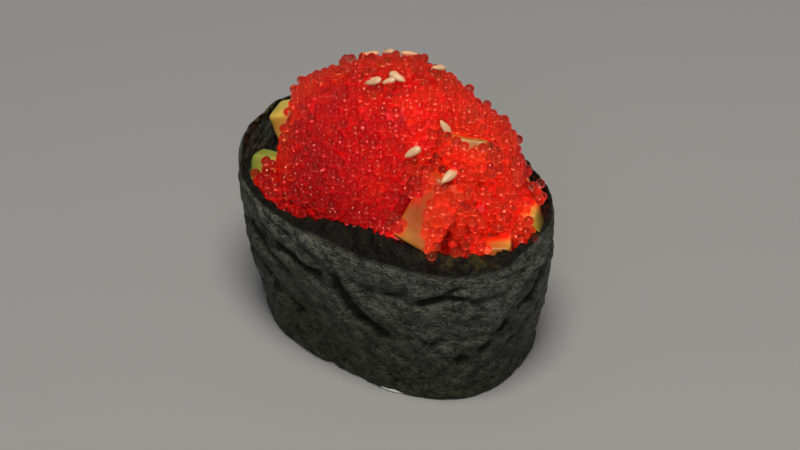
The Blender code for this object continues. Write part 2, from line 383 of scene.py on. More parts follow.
def add_piece(name, points, faces, material, slot, nodes=()):
    """A mesh piece of the sushi, which rides on its one body and stands for some CAD nodes."""
    mesh = bpy.data.meshes.new(name)
    mesh.from_pydata(points, [], faces)
    mesh.validate()
    mesh.shade_smooth()
    mesh.materials.append(material)
    made = new_object(name, mesh)
    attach(made, "root")
    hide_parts(*nodes)
    return made


def set_attribute(made, name, values):
    """One number for each vertex, which a material reads."""
    attribute = made.data.attributes.new(name, "FLOAT", "POINT")
    attribute.data.foreach_set("value", np.asarray(values, np.float32))


# ---- materials ----


def add_node(tree, kind, inputs=None, **settings):
    """A new node. An input is given as a value, or as the output that is linked to it."""
    node = tree.nodes.new("ShaderNode" + kind)
    for name, value in settings.items():
        setattr(node, name, value)
    for socket, value in (inputs or {}).items():
        if isinstance(value, bpy.types.NodeSocket):
            tree.links.new(value, node.inputs[socket])
        else:
            node.inputs[socket].default_value = value
    return node


def mixed(tree, share, first, second):
    """The colour between two colours. The share and both colours are values or outputs."""
    inputs = {0: share}
    for socket, value in ((6, first), (7, second)):
        inputs[socket] = value if isinstance(value, bpy.types.NodeSocket) else (*value, 1)
    return add_node(tree, "Mix", inputs, data_type="RGBA").outputs[2]


def ranged(tree, value, low, high, to_low=0, to_high=1, smooth=True):
    """The value's place between low and high, as a number from to_low to to_high."""
    inputs = {"Value": value, "From Min": low, "From Max": high, "To Min": to_low, "To Max": to_high}
    kind = "SMOOTHSTEP" if smooth else "LINEAR"
    return add_node(tree, "MapRange", inputs, interpolation_type=kind).outputs["Result"]


def computed(tree, operation, first, second=0):
    """The sum, product or other plain operation on two numbers."""
    return add_node(tree, "Math", {0: first, 1: second}, operation=operation).outputs[0]


def times(tree, first, second):
    """The product of two numbers."""
    return computed(tree, "MULTIPLY", first, second)


def attribute(tree, name, output="Fac"):
    """What an attribute of the mesh says at each point."""
    return add_node(tree, "Attribute", attribute_name=name).outputs[output]


def one_axis(tree, vector, axis):
    """The part of a vector along one axis."""
    return add_node(tree, "SeparateXYZ", {0: vector}).outputs[axis]


def clouds(tree, place, scale, detail=3, roughness=0.55, distortion=0):
    """Soft noise at this many features a metre."""
    inputs = {"Vector": place, "Scale": scale, "Detail": detail, "Roughness": roughness}
    inputs["Distortion"] = distortion
    return add_node(tree, "TexNoise", inputs).outputs["Fac"]


def new_material(name, **values):
    """A material with a Principled shader, whose sockets take these values."""
    material = bpy.data.materials.new(name)
    material.use_nodes = True
    tree = material.node_tree
    shader = tree.nodes["Principled BSDF"]
    for socket, value in values.items():
        shader.inputs[socket.replace("_", " ")].default_value = value
    place = add_node(tree, "TexCoord").outputs["Object"]
    return material, tree, shader, place


def colour_shader(tree, shader, colour, height=None, strength=0.5, distance=0.0003):
    """Links a shader's colour, and a bump from a height if there is one."""
    tree.links.new(colour, shader.inputs["Base Color"])
    if height is not None:
        inputs = {"Height": height, "Strength": strength, "Distance": distance}
        bump = add_node(tree, "Bump", inputs).outputs["Normal"]
        tree.links.new(bump, shader.inputs["Normal"])


def strokes(tree, sheet, turn, length, width, lift):
    """Thin bent lines across the sheet in one direction: 1 on a line, 0 beside it."""
    inputs = {"Vector": sheet, "Rotation": (0, 0, math.radians(turn))}
    inputs["Scale"] = (1 / length, 1 / width, 1)
    laid = add_node(tree, "Mapping", inputs).outputs["Vector"]
    cloud = clouds(tree, laid, 1, 1.5, 0.6, 0.5)
    beside = computed(tree, "ABSOLUTE", computed(tree, "SUBTRACT", cloud, 0.5 + lift))
    return ranged(tree, beside, 0, 0.12, 1, 0)


def nori_fibres(tree, sheet):
    """The paler strands of pressed seaweed, which lie in all directions and come in patches."""
    total = None
    for index, (turn, length, width) in enumerate(FIBRES):
        line = strokes(tree, sheet, turn, length, width, 0.02 * (index % 3 - 1))
        patchy = ranged(tree, clouds(tree, sheet, 260 + 60 * index), 0.47, 0.66)
        line = times(tree, line, patchy)
        total = line if total is None else computed(tree, "MAXIMUM", total, line)
    return total


def nori_colour(tree, place, sheet, fibres):
    """Dark green-black with paler blotches, flecks and strands; paler and greyer near the top and the
    right as painted light, darker and more olive towards the foot as painted shade.
    """
    patchy = ranged(tree, clouds(tree, place, 90), 0.3, 0.7, -0.006, 0.006)
    patches_and_painted_light = computed(tree, "ADD", patchy, times(tree, one_axis(tree, place, "X"), 0.28))
    # Painted light and shade: 'high' rises up the sheet and to the right, and turns every colour paler
    # and greyer there.
    high = ranged(tree, computed(tree, "ADD", one_axis(tree, sheet, "Y"), patches_and_painted_light), 0.006, 0.028)
    dark = mixed(tree, high, (0.003, 0.0034, 0.0026), (0.0072, 0.0082, 0.0086))
    pale = mixed(tree, high, (0.021, 0.0232, 0.017), (0.054, 0.059, 0.058))
    blotches = ranged(tree, clouds(tree, place, 330, 6, 0.74, 0.6), 0.37, 0.64)
    colour = mixed(tree, blotches, dark, pale)
    broad = ranged(tree, clouds(tree, place, 95, 2), 0.4, 0.6)
    colour = mixed(tree, times(tree, broad, 0.5), colour, dark)
    flecks = ranged(tree, clouds(tree, place, 1500, 3, 0.8), 0.53, 0.66)
    colour = mixed(tree, times(tree, flecks, 0.5), colour, (0.046, 0.053, 0.032))
    strands = mixed(tree, high, (0.082, 0.092, 0.05), (0.146, 0.158, 0.122))
    return mixed(tree, times(tree, fibres, 0.62), colour, strands)


def nori_darkened(tree, place, colour):
    """The colour with painted shade in the deeper folds, fine dark specks, the near-black wet lip that
    is partly painted shade, and brown-olive where the sheet is thin, partly painted light shining
    through.
    """
    # Painted shade in the deeper folds.
    colour = mixed(tree, attribute(tree, "sunk"), colour, (0.0024, 0.0027, 0.002))
    dark_specks = ranged(tree, clouds(tree, place, 1500, 3, 0.8), 0.46, 0.34)
    colour = mixed(tree, times(tree, dark_specks, 0.85), colour, (0.002, 0.0024, 0.0018))
    # The lip near-black: the darker wet sheet, and painted shade over the filling.
    colour = mixed(tree, times(tree, attribute(tree, "wet"), 0.95), colour, (0.0008, 0.0007, 0.0005))
    # Brown-olive where the sheet is thin, partly painted light shining through it.
    spots = ranged(tree, clouds(tree, place, 420, 5, 0.65), 0.44, 0.64)
    return mixed(tree, times(tree, attribute(tree, "thin"), spots), colour, (0.034, 0.029, 0.006))


def nori_material():
    """Pressed seaweed, uneven in colour, height and gloss."""
    material, tree, shader, place = new_material("nori", Specular_IOR_Level=0.1)
    sheet = attribute(tree, "sheet", "Vector")
    fibres = nori_fibres(tree, sheet)
    colour = nori_darkened(tree, place, nori_colour(tree, place, sheet, fibres))
    grain = clouds(tree, place, 1500, 3, 0.75)
    height = computed(tree, "ADD", times(tree, fibres, 0.35), grain)
    colour_shader(tree, shader, colour, height, 1, 0.0004)
    roughness = ranged(tree, clouds(tree, place, 520, 4), 0.4, 0.66, 0.36, 0.66)
    tree.links.new(roughness, shader.inputs["Roughness"])
    return material


def let_lamps_through(tree, shader, tint):
    """Lamp light passes the surface, tinted, so that it reaches what lies behind."""
    ray = add_node(tree, "LightPath").outputs["Is Shadow Ray"]
    clear = add_node(tree, "BsdfTransparent", {"Color": (*tint, 1)}).outputs[0]
    inputs = {0: ray, 1: shader.outputs[0], 2: clear}
    shown = add_node(tree, "MixShader", inputs).outputs[0]
    tree.links.new(shown, tree.nodes["Material Output"].inputs["Surface"])


def egg_material(name, deep, bright, glow):
    """Translucent roe: deep red above; at its lower side a painted orange crescent stands for gathered
    lamp light, and a larger translucent share lets lamp light through.
    """
    material, tree, shader, _ = new_material(
        name, Roughness=0.04, IOR=1.37, Specular_Tint=(1, 0.84, 0.64, 1), Transmission_Weight=1
    )
    tone = attribute(tree, "tone")
    facing_up = one_axis(tree, add_node(tree, "NewGeometry").outputs["Normal"], "Z")
    strength = times(tree, attribute(tree, "lit"), ranged(tree, tone, 0.15, 0.75, 0.45, 1))
    below = times(tree, ranged(tree, facing_up, 0, -0.7), strength)
    # Painted light: the base colour turns orange where the egg faces down, as if lamp light gathered
    # there.
    colour_shader(tree, shader, mixed(tree, below, mixed(tree, tone, deep, bright), EGG_PAINTED_CRESCENT))
    lit_colour = mixed(tree, below, glow, EGG_PAINTED_CRESCENT)
    lit_through = add_node(tree, "BsdfTranslucent", {"Color": lit_colour}).outputs[0]
    share = ranged(tree, below, 0, 1, EGG_GLOW_SHARE, EGG_GLOW_SHARE_BELOW, smooth=False)
    body = add_node(tree, "MixShader", {0: share, 1: shader.outputs[0], 2: lit_through})
    let_lamps_through(tree, body, EGG_SHADE)
    return material


def patchy_material(name, patches, first, second, bump, **values):
    """A material of two colours in soft patches, with a fine bump: its scale, strength, depth."""
    material, tree, shader, place = new_material(name, **values)
    colour = mixed(tree, clouds(tree, place, patches), first, second)
    colour_shader(tree, shader, colour, clouds(tree, place, bump[0]), *bump[1:])
    return material


def core_material():
    """The roe seen between the eggs: a deep red mass, much darker than the eggs as painted shade in the
    gaps.
    """
    return patchy_material(
        "roe_core_painted_shade", 500, (0.21, 0.006, 0.014), (0.36, 0.012, 0.02), (900, 0.4, 0.0003),
        Roughness=0.35, Subsurface_Weight=0.3, Subsurface_Radius=(1, 0.1, 0.05),
        Subsurface_Scale=0.001,
    )


def avocado_material():
    """Moist avocado flesh: green at the skin side, yellow inside, and darker orange on the other side
    as painted shade warmed by the roe's light.
    """
    material, tree, shader, place = new_material(
        "avocado", Roughness=0.38, Specular_IOR_Level=0.28,
        Subsurface_Weight=0.35, Subsurface_Radius=(1, 0.6, 0.2), Subsurface_Scale=0.0014,
    )
    patches = clouds(tree, place, 260, 4)
    flesh = mixed(tree, patches, (0.46, 0.3, 0.045), (0.6, 0.42, 0.085))
    skin_side = mixed(tree, patches, (0.15, 0.215, 0.03), (0.235, 0.29, 0.05))
    colour = mixed(tree, attribute(tree, "green"), flesh, skin_side)
    # Painted shade: darker orange where 'tint' is high, as shade lit by red light from the roe.
    colour = mixed(tree, attribute(tree, "tint"), colour, (0.3, 0.052, 0.007))
    colour_shader(tree, shader, colour, clouds(tree, place, 700, 4), 0.5, 0.0003)
    return material


def sesame_material():
    """Toasted white sesame: cream with a browner tip."""
    material, tree, shader, place = new_material(
        "sesame", Roughness=0.42,
        Subsurface_Weight=0.2, Subsurface_Radius=(1, 0.7, 0.4), Subsurface_Scale=0.0006,
    )
    body = mixed(tree, clouds(tree, place, 1400), (0.47, 0.275, 0.15), (0.6, 0.39, 0.24))
    colour = mixed(tree, attribute(tree, "tip"), body, (0.55, 0.26, 0.09))
    colour_shader(tree, shader, colour, clouds(tree, place, 2500), 0.3, 0.0001)
    return material


def rice_material():
    """Cooked sushi rice: white, translucent and moist."""
    return patchy_material(
        "rice", 500, (0.66, 0.63, 0.55), (0.8, 0.78, 0.71), (1300, 0.3, 0.0002),
        Roughness=0.32, Subsurface_Weight=0.5, Subsurface_Radius=(1, 0.9, 0.75),
        Subsurface_Scale=0.0012,
    )


def floor_material():
    """A plain pale matt floor."""
    material, tree, shader, place = new_material("floor", Roughness=0.6)
    colour = mixed(tree, clouds(tree, place, 3), (0.238, 0.246, 0.254), (0.252, 0.26, 0.268))
    colour_shader(tree, shader, colour)
    return material


# ---- the nori ----


def blurred(values, reach, axis, wraps):
    """The values smoothed along one axis with a bell of this reach, in steps."""
    offsets = np.arange(-3 * reach, 3 * reach + 1)
    weights = np.exp(-0.5 * (offsets / reach) ** 2)
    weights /= weights.sum()
    mode = "wrap" if wraps else "edge"
    widths = [(0, 0)] * values.ndim
    widths[axis] = (3 * reach, 3 * reach)
    padded = np.pad(values, widths, mode)
    return sum(
        weight * np.take(padded, range(k, k + values.shape[axis]), axis)
        for k, weight in enumerate(weights)
    )


def band_radius(band, angle, height):
    """The outer face's distance from the upright axis and how far it faces up, or None."""
    outward = Vector((math.cos(angle), math.sin(angle), 0))
    start = outward * OUTSIDE + Vector((0, 0, height))
    place, facing, _, _ = band.ray_cast(start, -outward)
    if place is None or place.dot(outward) < 0:
        return None
    return place.xy.length, facing.z


def crease_height(band, angle, top):
    """Where the outer face ends and the lip starts, at one angle."""
    height = top
    while height > LOWEST_CREASE:
        found = band_radius(band, angle, height)
        if found and found[1] < WALL_FACES_UP:
            return height
        height -= CREASE_SEARCH_STEP
    return height


def leans_inward(band, angle, crease, radius):
    """1 where the lip leans over the filling, 0 where it stands upright."""
    inward = radius - 0.6 * LIP_RUN
    start = Vector((inward * math.cos(angle), inward * math.sin(angle), crease + LEAN_RAY))
    place, _, _, distance = band.ray_cast(start, DOWN)
    return float(place is not None and distance < LEAN_RAY + LEAN_DROP)


def measured_wall(angles):
    """The band's crease height and lean at each angle, and its radius at each row and angle."""
    band = surface_of("nori")
    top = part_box("nori")[1].z
    creases = np.array([crease_height(band, angle, top) for angle in angles])
    creases = blurred(creases, 4, 0, True)
    radii = np.zeros((WALL_ROWS, len(angles)))
    for column, angle in enumerate(angles):
        for row, share in enumerate(WALL_SHARES):
            height = WALL_FROM + (creases[column] - WALL_BELOW_CREASE - WALL_FROM) * share
            radii[row, column] = band_radius(band, angle, height)[0]
    leans = [leans_inward(band, *spot) for spot in zip(angles, creases, radii[-1])]
    radii = blurred(blurred(radii, 4, 1, True), 2, 0, False)
    return creases, blurred(np.array(leans), 8, 0, True), radii


def ragged(angle, fineness, seed):
    """An uneven number from about -1 to 1 that varies round the band."""
    place = Vector((math.cos(angle), math.sin(angle), seed)) * fineness
    return noise.noise(place) + 0.6 * noise.noise(place * 2.7) + 0.4 * noise.noise(place * 6.1)


def round_the_band(angles, points):
    """A value that is given at some degrees round the band, at every angle."""
    degrees, values = zip(*points)
    return np.interp((np.degrees(angles) + 180) % 360 - 180, degrees, values)


def ring_of(angles, radius, heights):
    """Points round the upright axis."""
    return np.stack([radius * np.cos(angles), radius * np.sin(angles), heights], 1)


def base_sheet(angles, creases, leans, radii):
    """The sheet before its folds: rows from the foot up the wall and in over the lip."""
    foot = FOOT_HEIGHT + FOOT_UNEVENNESS * np.maximum(-1, [ragged(a, 9, 3) for a in angles])
    walls = zip(radii, WALL_SHARES)
    rows = [ring_of(angles, radius, foot + (creases - foot) * share) for radius, share in walls]
    sizes = round_the_band(angles, LIP_SIZES)
    uneven = np.array([ragged(a, 14, 7) for a in angles])
    for share in np.arange(1, LIP_ROWS + 1) / LIP_ROWS:
        tears = TEAR_DEPTH * share * uneven
        run = (CURL_RUN + (LIP_RUN * sizes - CURL_RUN) * leans) * share * (1 + tears)
        rise = LIP_RISE * sizes**2 * leans * math.sin(share * math.pi / 2)
        rise += RIM_UNEVENNESS * (1 - leans) * share * tears
        rows.append(ring_of(angles, radii[-1] - run, creases + rise))
    return np.array(rows)


def rounded_crease(sheet, rounds=10):
    """The sheet with the corner between wall and lip eased over about a millimetre."""
    for _ in range(rounds):
        middle = slice(WALL_ROWS - 5, WALL_ROWS + 5)
        above = sheet[WALL_ROWS - 4 : WALL_ROWS + 6]
        below = sheet[WALL_ROWS - 6 : WALL_ROWS + 4]
        sheet[middle] = 0.5 * sheet[middle] + 0.25 * (above + below)
    return sheet


def sheet_normals(sheet):
    """The outward direction at each point of the sheet."""
    along = np.roll(sheet, -1, 1) - np.roll(sheet, 1, 1)
    upward = np.gradient(sheet, axis=0)
    normals = np.cross(along, upward)
    return normals / np.maximum(np.linalg.norm(normals, axis=2, keepdims=True), 1e-12)


def distance_to_line(across, up, line):
    """How far points are from a chain of straight runs, all on the unrolled band."""
    nearest = np.ones(across.shape)
    for (x0, y0), (x1, y1) in zip(line, line[1:]):
        dx, dy = x1 - x0, y1 - y0
        share = np.clip(((across - x0) * dx + (up - y0) * dy) / (dx * dx + dy * dy), 0, 1)
        nearest = np.minimum(nearest, np.hypot(across - x0 - share * dx, up - y0 - share * dy))
    return nearest


def folds(angles, sheet):
    """How far each point sinks into a fold, or stands out on a ridge."""
    around, across = unrolled(sheet)
    turns = (np.degrees(angles) - np.degrees(angles[0])) % 360
    up = sheet[:, :, 2]
    sway = 0.0005 * np.sin(across / 0.0017) + 0.0004 * np.sin(across / 0.0031 + up / 0.002)
    sunk = np.zeros(sheet.shape[:2])
    for points, reach, depth in FOLDS:
        places = [(angle - math.degrees(LAP_ANGLE)) % 360 for angle, _ in points]
        line = [(np.interp(place, turns, around), height) for place, (_, height) in zip(places, points)]
        distance = distance_to_line(across, up + sway, line)
        sunk += depth * np.exp(-((distance / reach) ** 2))
    return np.clip(sunk * fold_patches(sheet), -FOLD_HIGHEST, FOLD_DEEPEST)


def fold_patches(sheet):
    """How deep the folds are from place to place, so that they break up into dents."""
    patches = 1 + FOLD_UNEVENNESS * noise_at(sheet.reshape(-1, 3), FOLD_FINENESS)
    return np.clip(patches, 0.1, 1.9).reshape(sheet.shape[:2])


def wrinkle(place, along, up):
    """The sheet's small unevenness at a place: soft swells, slanting wrinkles and fine grain."""
    swell = noise.fractal(place * 120, 1, 2, 3)
    slant = Vector((along * 120 + up * 70, up * 330 + along * 210, 0))
    slanting = 1 - 2 * abs(noise.noise(slant + place * 40))
    counter = Vector((along * 330 - up * 160, up * 150 + 9, 5))
    crossing = 1 - 2 * abs(noise.noise(counter + place * 60))
    fine = noise.fractal(place * 620, 1, 2.1, 3)
    return SWELL * swell + SLANTING * slanting + CROSSING * crossing + FINE_GRAIN * fine


def unrolled(sheet):
    """How far round the band each point is, from the lap, in metres."""
    middle = sheet[WALL_ROWS // 2]
    steps = np.linalg.norm(np.roll(middle, -1, 0) - middle, axis=1)
    around = np.concatenate([[0], np.cumsum(steps)[:-1]])
    return around, np.broadcast_to(around, sheet.shape[:2])


def height_along(sheet):
    """How far each point is from the foot, along the sheet."""
    steps = np.linalg.norm(np.diff(sheet, axis=0), axis=2)
    return np.concatenate([np.zeros((1, sheet.shape[1])), np.cumsum(steps, axis=0)])


def crumpled(angles, sheet):
    """The sheet with its folds, wrinkles and the step where one end laps over the other."""
    normals = sheet_normals(sheet)
    lift = -folds(angles, sheet)
    for row in range(sheet.shape[0]):
        for column, angle in enumerate(angles):
            place = Vector(sheet[row, column])
            lift[row, column] += wrinkle(place, angle * 0.025, place.z)
    outer_end = np.clip(1 - np.arange(len(angles)) / LAP_FADE_COLUMNS, 0, 1)
    lift += LAP_STEP * outer_end[None, :]
    foot_fade = np.minimum(1, np.arange(sheet.shape[0]) / FOOT_FADE_ROWS + 0.35)
    return sheet + normals * (lift * foot_fade[:, None])[:, :, None]


def grid_faces(rows, columns, first, flipped):
    """The quads of a grid whose rows close on themselves."""
    faces = []
    for start in range(first, first + (rows - 1) * columns, columns):
        for column in range(columns):
            beside = (column + 1) % columns
            corners = [start + column, start + beside]
            corners += [start + columns + beside, start + columns + column]
            faces.append(corners[::-1] if flipped else corners)
    return faces


def mark_nori(made, angles, sheet):
    """Tells the material where the sheet is wet and darkened as painted shade, thin with painted light
    shining through, and sunk in folds that get painted shade, and where on it each point lies.
    """
    rows = np.arange(len(sheet))[:, None] - WALL_ROWS
    # The wet lip, whose near-black colour is partly painted shade.
    dark_from = LIP_ROWS * round_the_band(angles, LIP_DARK_FROM)
    wet = np.clip((rows - dark_from) / WET_FADE_ROWS, 0, 1)
    see_through = sum(
        share * np.exp(-((((np.degrees(angles) - middle + 180) % 360 - 180) / reach) ** 2))
        for middle, reach, share in THIN_AND_BACKLIT_EDGES
    )
    # Thin edges, whose brown-olive is partly painted light shining through.
    thin = np.clip((rows + 3) / THIN_FADE_ROWS, 0, 1) * np.minimum(see_through, 1)
    # Painted shade: folds deeper than the first number darken the colour.
    sunk = np.clip((folds(angles, sheet) - FOLD_SHADE_DEPTH) / FOLD_SHADE_DEPTH, 0, 1)
    for name, values in (("wet", wet), ("thin", thin), ("sunk", FOLD_PAINTED_SHADE * sunk)):
        set_attribute(made, name, np.tile(values.ravel(), 2))
    flat = np.stack([unrolled(sheet)[1], height_along(sheet), np.zeros(sheet.shape[:2])], 2)
    laid = made.data.attributes.new("sheet", "FLOAT_VECTOR", "POINT")
    laid.data.foreach_set("vector", np.tile(flat.reshape(-1), 2).astype(np.float32))


def make_nori():
    """The band as one thin crumpled sheet with a front, a back and torn edges."""
    angles = LAP_ANGLE + np.linspace(0, 2 * math.pi, NORI_COLUMNS, endpoint=False)
    sheet = rounded_crease(base_sheet(angles, *measured_wall(angles)))
    outer = crumpled(angles, sheet)
    count = len(outer)
    edge = np.minimum(np.arange(count), np.arange(count)[::-1]) / EDGE_ROWS
    thickness = EDGE_THICKNESS + (SHEET_THICKNESS - EDGE_THICKNESS) * np.minimum(edge, 1)
    inner = outer - sheet_normals(outer) * thickness[:, None, None]
    points = np.concatenate([outer.reshape(-1, 3), inner.reshape(-1, 3)])
    points[:, 2] = np.maximum(points[:, 2], LOWEST)
    half = count * NORI_COLUMNS
    faces = grid_faces(count, NORI_COLUMNS, 0, False) + grid_faces(count, NORI_COLUMNS, half, True)
    top = half - NORI_COLUMNS
    for column in range(NORI_COLUMNS):
        beside = (column + 1) % NORI_COLUMNS
        faces.append([half + column, half + beside, beside, column])
        faces.append([top + column, top + beside, half + top + beside, half + top + column])
    mark_nori(add_piece("nori_sheet", points, faces, nori_material(), "nori", ["nori"]), angles, sheet)


# ---- the roe ----


def unit_ball(cuts):
    """A round ball of radius 1 from an icosahedron with cut edges."""
    form = bmesh.new()
    bmesh.ops.create_icosphere(form, subdivisions=1, radius=1)
    bmesh.ops.subdivide_edges(form, edges=form.edges, cuts=cuts, use_grid_fill=True)
    points, faces = triangles_of(form)
    return np.array([point.normalized() for point in points]), np.array(faces)


def joined_balls(centres, radii, ball):
    """One mesh's points and faces for balls at these centres."""
    points, faces = ball
    placed = centres[:, None, :] + points[None, :, :] * radii[:, None, None]
    numbered = faces[None, :, :] + (np.arange(len(centres)) * len(points))[:, None, None]
    return placed.reshape(-1, 3), numbered.reshape(-1, 3)


def open_faces():
    """The roe solid's faces that eggs cover: not its foot, nor the walls of the dice's hollows."""
    dice = surface_of(*[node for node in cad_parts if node.startswith("avocado")])
    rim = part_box("nori")[1].z
    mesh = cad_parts["roe"].data
    corners, areas = [], []
    for face in mesh.polygons:
        place = face.center
        hidden = place.z < rim - HIDDEN_BELOW_RIM or face.normal.z < FACES_DOWN
        if hidden or dice.find_nearest(place, NEAR_DICE)[0] is not None:
            continue
        corners.append([mesh.vertices[corner].co[:] for corner in face.vertices[:3]])
        areas.append(face.area)
    return np.array(corners), np.array(areas)


def scattered(rng, corners, areas, count):
    """Random points on triangles, spread evenly over their area."""
    chosen = corners[rng.choice(len(areas), count, p=areas / areas.sum())]
    u, v = rng.random((2, count, 1))
    over = (u + v) > 1
    u, v = np.where(over, 1 - u, u), np.where(over, 1 - v, v)
    return chosen[:, 0] + u * (chosen[:, 1] - chosen[:, 0]) + v * (chosen[:, 2] - chosen[:, 0])


def sinking(place):
    """How far below the heap's outline the eggs start at a place: its lumps and hollows."""
    depth = LUMP * (noise.noise(place * LUMP_FINENESS) + 0.2)
    for middle, reach, extra in HOLLOWS:
        depth += extra * math.exp(-(((place - Vector(middle)).length / reach) ** 2))
    return depth


def tree_of(points):
    """The points in a tree that finds those near a place."""
    tree = KDTree(len(points))
    for index, place in enumerate(points):
        tree.insert(place, index)
    tree.balance()
    return tree


def pushed_apart(points, spacing):
    """The points moved away from any that are nearer than the spacing."""
    tree = tree_of(points)
    moved = []
    for index, place in enumerate(points):
        shift = Vector()
        for near, other, distance in tree.find_range(place, spacing):
            if other != index and distance > 1e-7:
                shift += (place - near) * (0.5 * (spacing - distance) / distance)
        moved.append(place + shift)
    return moved


def settled(points, shallow, deep, surface, spacing):
    """The points spread out, each between two depths below a surface."""
    points = [Vector(point) for point in points]
    for _ in range(SETTLING_ROUNDS):
        points = pushed_apart(points, spacing)
        for index, point in enumerate(points):
            nearest, facing, _, _ = surface.find_nearest(point)
            depth = (nearest - point).dot(facing)
            depth = min(max(depth, shallow[index]), deep[index])
            points[index] = nearest - facing * depth
    return np.array(points)


def uncrowded(points, order, spacing):
    """Which points stay when, in this order, each that is too near one that stays is left out."""
    tree = tree_of(points)
    stays = np.zeros(len(points), bool)
    for index in order:
        near = [other for _, other, _ in tree.find_range(points[index], spacing)]
        stays[index] = not stays[near].any()
    return stays


def tones(rng, centres):
    """How orange each egg is, from 0 to 1: at random, in patches, and with painted light and shade by
    place.
    """
    tone = TONE + TONE_SPREAD * rng.standard_normal(len(centres))
    tone += TONE_PATCHES * noise_at(centres, TONE_FINENESS)
    for place, reach, change in PAINTED_LIGHT_TONES:
        distance = np.linalg.norm(centres - np.array(place), axis=1)
        tone += change * np.exp(-((distance / reach) ** 2))
    return np.clip(tone, 0, 1)


def add_eggs(name, centres, radii, tone, lit, cuts, material):
    """One piece made of many eggs, each with its own tone and its own strength of light at its lower
    side, partly a painted crescent.
    """
    ball = unit_ball(cuts)
    points, faces = joined_balls(centres, radii, ball)
    made = add_piece(name, points, faces.tolist(), material, "roe")
    set_attribute(made, "tone", np.repeat(tone, len(ball[0])))
    set_attribute(made, "lit", np.repeat(lit, len(ball[0])))


def make_core():
    """The deep red mass under the eggs: the heap shrunk by more than an egg, with low relief; its dark
    colour is painted shade.
    """
    heap = surface_of("roe")
    middle = Vector(CORE_MIDDLE)
    turns = np.linspace(0, 2 * math.pi, CORE_COLUMNS, endpoint=False)
    lifts = np.linspace(CORE_LOWEST, math.pi / 2, CORE_ROWS)
    rays = [
        [Vector((math.cos(t) * math.cos(u), math.sin(t) * math.cos(u), math.sin(u))) for t in turns]
        for u in lifts
    ]
    reach = np.array([[heap.ray_cast(middle, ray)[3] for ray in row] for row in rays])
    reach = blurred(blurred(reach - CORE_DEPTH, 2, 1, True), 2, 0, False)
    points = [middle]
    for row, row_reach in zip(rays, reach):
        for ray, length in zip(row, row_reach):
            place = middle + ray * length
            points.append(place + ray * CORE_RELIEF * noise.noise(place * CORE_FINENESS))
    faces = grid_faces(CORE_ROWS, CORE_COLUMNS, 1, False)
    faces += [[0, 1 + (column + 1) % CORE_COLUMNS, 1 + column] for column in range(CORE_COLUMNS)]
    add_piece("roe_core_painted_shade", points, faces, core_material(), "roe", ["roe"])


def heaped_eggs(rng):
    """Places and radii of the eggs of the heap, and how deep each one lies."""
    heap = surface_of("roe")
    corners, areas = open_faces()
    count = int(areas.sum() * EGGS_PER_AREA)
    starts = scattered(rng, corners, areas, count)
    radii = EGG_RADIUS * (1 + EGG_RADIUS_SPREAD * rng.uniform(-1, 1, count))
    shallow = radii + np.array([sinking(Vector(start)) for start in starts])
    shallow -= PROUD * (rng.random(count) < PROUD_SHARE)
    deep = shallow + SHELL
    below = shallow + SHELL * rng.random(count)
    for index, start in enumerate(starts):
        nearest, facing, _, _ = heap.find_nearest(Vector(start))
        starts[index] = nearest - facing * below[index]
    centres = settled(starts, shallow, deep, heap, EGG_SPACING)
    nearest = [heap.find_nearest(Vector(centre)) for centre in centres]
    depths = np.array([(n[0] - Vector(c)).dot(n[1]) for n, c in zip(nearest, centres)]) - shallow
    stays = uncrowded(centres, np.argsort(depths), CROWDED * EGG_SPACING)
    return centres[stays], radii[stays], depths[stays]


def perched_eggs(rng, others):
    """Places of the eggs on the dice, the rim and the flank, clear of the others and of the band."""
    placed = np.array(others)
    outward_from = Vector(CORE_MIDDLE)
    band = surface_of("nori")
    for nodes, middle, reach in PERCHES:
        base, middle = surface_of(*nodes), Vector(middle)
        for layer in range(PERCH_LAYERS):
            lift = EGG_RADIUS * (1 - PERCHED_SINK) + PERCHED_LAYER * layer
            for start in rng.uniform(-reach, reach, (PERCH_TRIES, 3)):
                nearest, facing, _, _ = base.find_nearest(middle + Vector(start))
                hidden = facing.z < PERCH_TILT or facing.dot(nearest - outward_from) < 0
                centre = nearest + facing * lift
                outward = Vector((centre.x, centre.y, 0)).normalized()
                pokes_out = band.ray_cast(centre, outward, PERCHED_WALL_GAP)[0] is not None
                place = np.array(centre)
                crowded = np.linalg.norm(placed - place, axis=1).min() < PERCHED_SPACING
                if (nearest - middle).length < reach and not (hidden or crowded or pokes_out):
                    placed = np.vstack([placed, place])
    return placed[len(others) :]


def make_roe():
    """The core and its eggs: three kinds outside, which differ in colour, and coarser ones within."""
    rng = np.random.default_rng(11)
    centres, radii, depths = heaped_eggs(rng)
    perched = perched_eggs(rng, centres)
    spread = PERCHED_RADIUS_SPREAD * rng.uniform(-1, 1, len(perched))
    centres = np.concatenate([centres, perched])
    radii = np.concatenate([radii, EGG_RADIUS * (1 + spread)])
    depths = np.concatenate([depths, np.zeros(len(perched))])
    tone = tones(rng, centres)
    lit = rng.random(len(centres)) ** LIT_UNEVENNESS
    fine = depths < FINE_DEPTH
    # The kinds split the eggs by tone, so the orange kind carries more of the painted light and the
    # crimson kind more of the painted shade.
    kind = np.digitize(tone, np.quantile(tone[fine], (1 / 3, 2 / 3)))
    make_core()
    for index, (name, *colours) in enumerate(EGG_KINDS):
        material = egg_material(name, *colours)
        sets = [(name, fine & (kind == index), EGG_CUTS)]
        if name == INNER_KIND:
            sets.append(("roe_inner", ~fine, INNER_EGG_CUTS))
        for piece, chosen, cuts in sets:
            add_eggs(piece, centres[chosen], radii[chosen], tone[chosen], lit[chosen], cuts, material)
    return centres, radii


# ---- the avocado, the sesame and the rice ----


